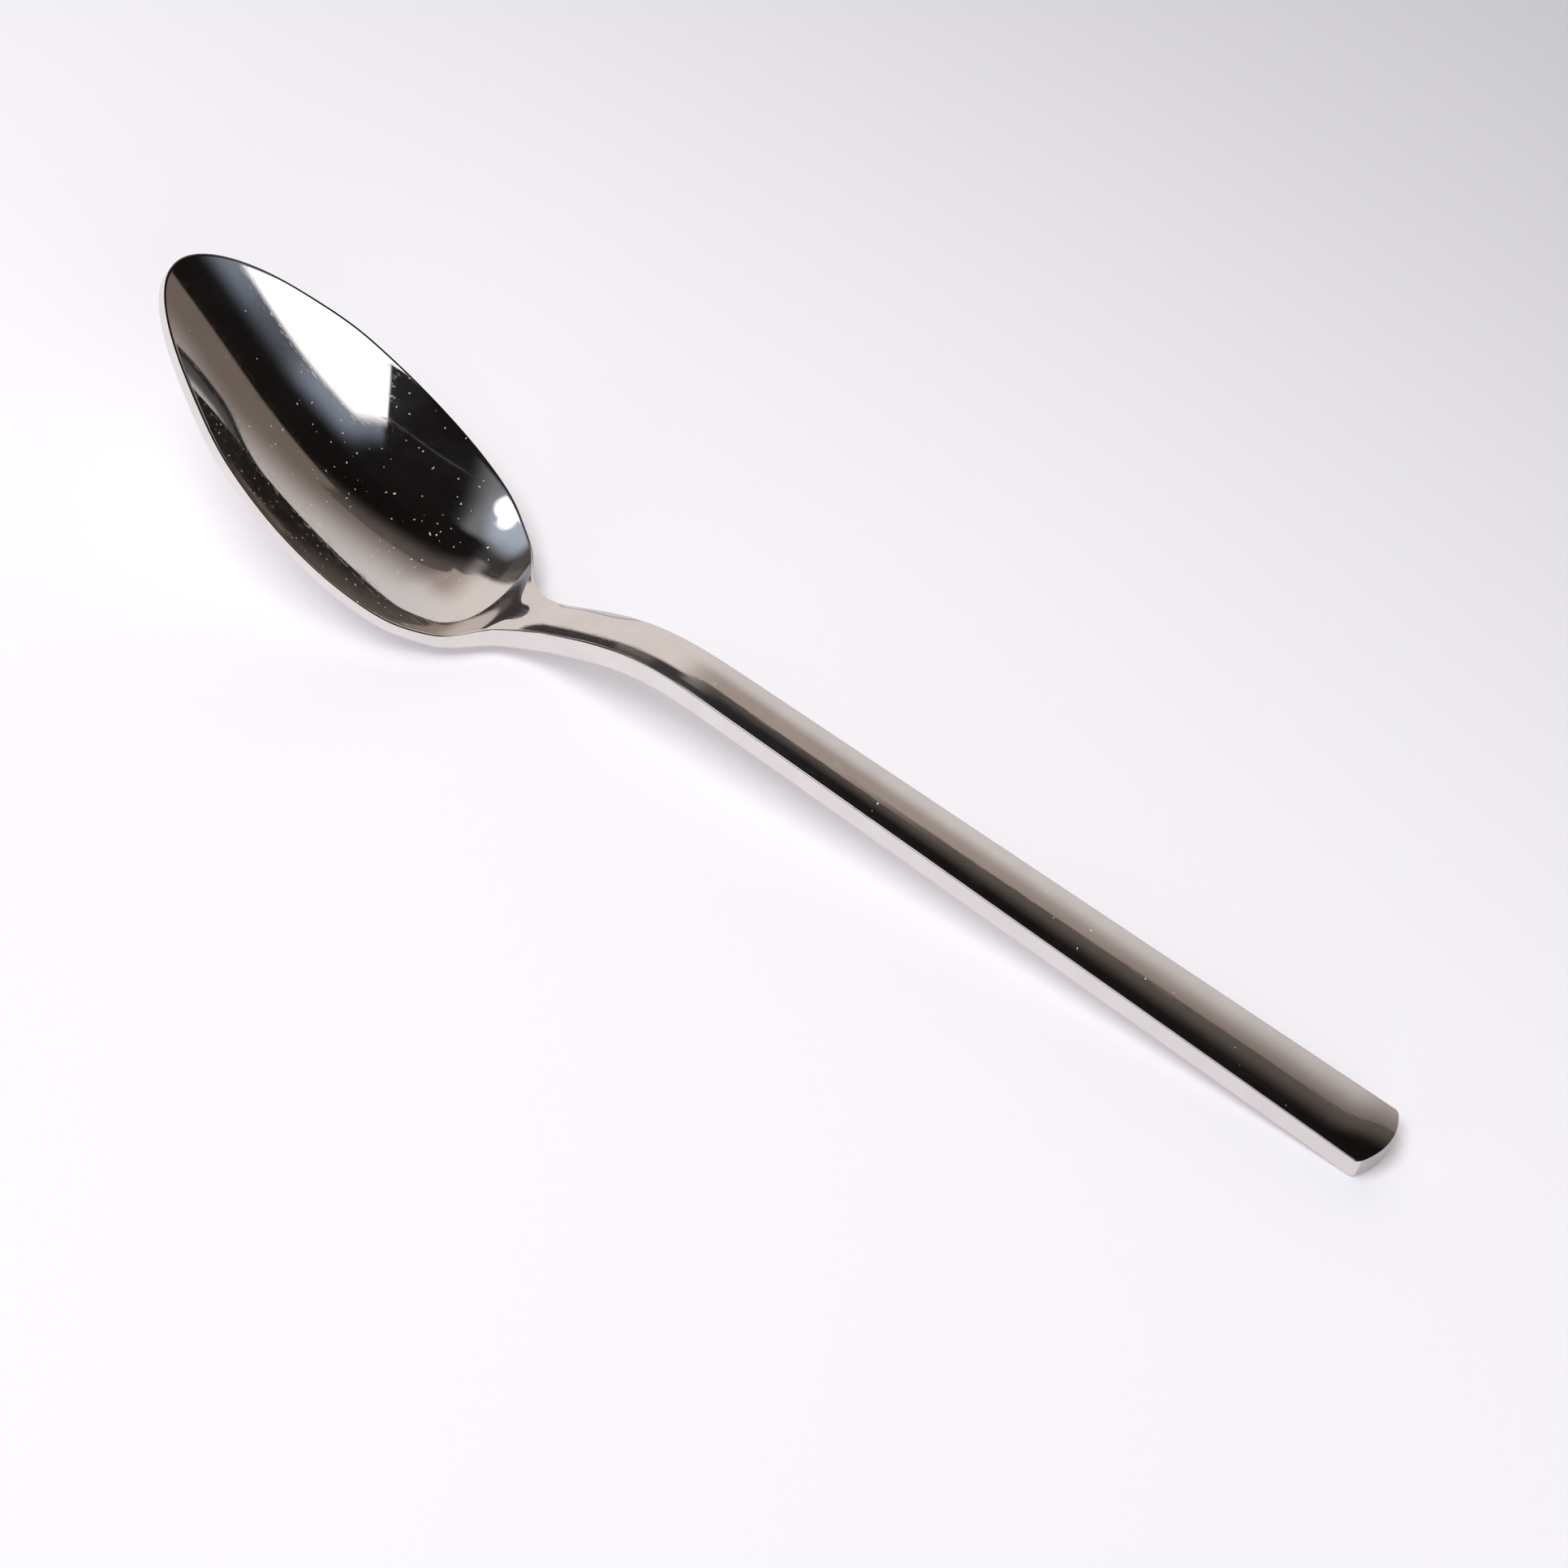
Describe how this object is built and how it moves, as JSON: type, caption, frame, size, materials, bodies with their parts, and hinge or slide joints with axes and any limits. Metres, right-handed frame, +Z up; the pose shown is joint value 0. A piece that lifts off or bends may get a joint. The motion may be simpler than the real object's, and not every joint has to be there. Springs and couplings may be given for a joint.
{
  "type": "teaspoon",
  "caption": "Slim polished stainless steel teaspoon with a small oval bowl tipped well up, a raised square-shouldered neck and a straight handle that widens to a rounded end.",
  "frame": {"origin": "centre of the spoon's plan box, on the table that it lies on", "axes": "+X from the bowl towards the handle's end, +Y across the spoon, +Z up from the table"},
  "size_m": [0.1404, 0.0224, 0.0265],
  "materials": {
    "steel": "mirror-polished stainless steel with fine wear scratches"
  },
  "bodies": {
    "root": {"bowl": "steel", "neck": "steel", "handle": "steel"}
  },
  "joints": []
}
